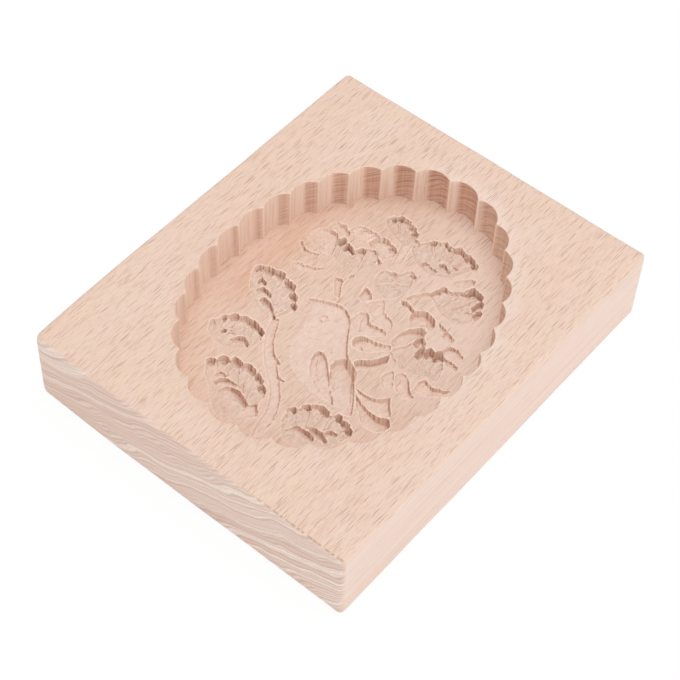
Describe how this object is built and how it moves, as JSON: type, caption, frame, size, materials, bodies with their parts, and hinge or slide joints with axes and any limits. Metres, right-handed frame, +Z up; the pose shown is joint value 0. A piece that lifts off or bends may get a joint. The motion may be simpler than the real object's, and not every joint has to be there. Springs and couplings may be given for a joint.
{
  "type": "carved cookie mold",
  "caption": "Rectangular wooden block with a fluted, egg-shaped hollow in its top face; a bird among flowers and leaves is carved below the hollow's floor to shape pressed dough.",
  "frame": {"origin": "centre of the block's underside, where it rests on a table", "axes": "+Z up out of the carved face; +Y along the grain, towards the end that the bird's head points to; +X across the grain"},
  "size_m": [0.086, 0.105, 0.02],
  "materials": {
    "beech": "planed and fine sanded, unoiled"
  },
  "bodies": {
    "root": {"mold_block": "beech"}
  },
  "joints": []
}
